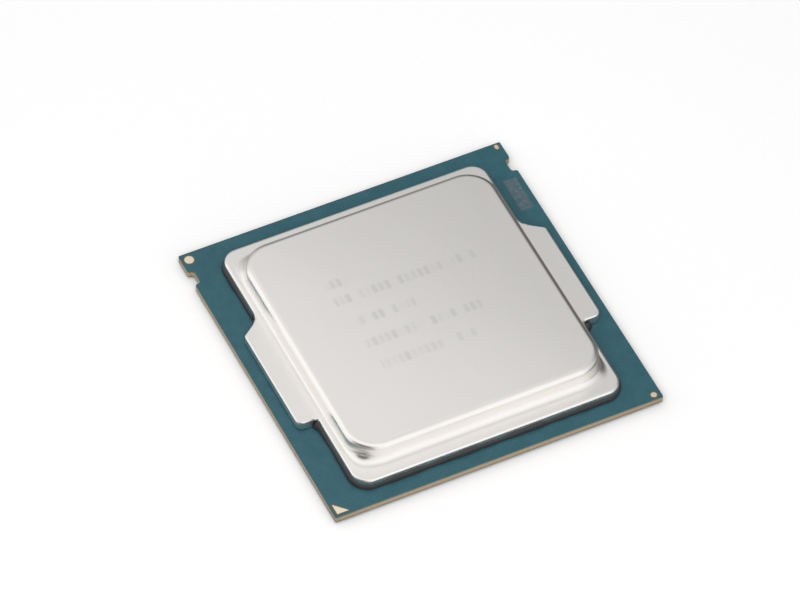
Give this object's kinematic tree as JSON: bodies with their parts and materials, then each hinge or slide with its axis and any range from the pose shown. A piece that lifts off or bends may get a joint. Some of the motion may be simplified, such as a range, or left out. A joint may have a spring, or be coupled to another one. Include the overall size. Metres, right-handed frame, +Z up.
{
  "type": "desktop processor package",
  "caption": "Square land grid array processor: a stepped nickel-plated lid with two clamping ears, glued to a thin green-blue circuit board with contact lands below.",
  "frame": {"origin": "under the board's centre, at the level of the land-side capacitors' faces, the package's lowest points", "axes": "+Z up out of the lid's flat top, +Y towards the board edge that has the two key notches near it, +X to the right seen from above"},
  "size_m": [0.0376, 0.0376, 0.0048],
  "materials": {
    "solder_mask": "satin",
    "buildup_resin": "matte",
    "fibreglass": "matte",
    "copper": "satin",
    "nickel_plate": "satin",
    "sealant": "satin",
    "thermal_paste": "matte",
    "silicon": "polished",
    "underfill": "satin",
    "solder": "satin",
    "gold": "satin",
    "ceramic": "matte",
    "laser_mark": "matte"
  },
  "bodies": {
    "root": {"solder_mask_bottom": "solder_mask", "buildup_layers_bottom": "buildup_resin", "copper_plane_bottom": "copper", "substrate_core": "fibreglass", "copper_plane_top": "copper", "buildup_layers_top": "buildup_resin", "solder_mask_top": "solder_mask", "heat_spreader": "nickel_plate", "lid_sealant_bead": "sealant", "thermal_interface": "thermal_paste", "silicon_die": "silicon", "die_solder_bumps": "solder", "die_underfill": "underfill", "land_field_front": "gold", "land_field_back": "gold", "land_field_left": "gold", "land_field_right": "gold", "pin_one_triangle": "gold", "fiducial_back_left": "gold", "fiducial_back_right": "gold", "fiducial_front_right": "gold", "unit_mark_patch": "laser_mark", "land_capacitor_01": "ceramic", "land_capacitor_02": "ceramic", "land_capacitor_03": "ceramic", "land_capacitor_04": "ceramic", "land_capacitor_05": "ceramic", "land_capacitor_06": "ceramic", "land_capacitor_07": "ceramic", "land_capacitor_08": "ceramic", "land_capacitor_09": "ceramic", "land_capacitor_10": "ceramic", "land_capacitor_11": "ceramic", "land_capacitor_12": "ceramic", "land_capacitor_13": "ceramic", "land_capacitor_14": "ceramic", "land_capacitor_15": "ceramic", "land_capacitor_16": "ceramic", "land_capacitor_17": "ceramic", "land_capacitor_18": "ceramic", "land_capacitor_19": "ceramic", "land_capacitor_20": "ceramic"}
  },
  "joints": []
}
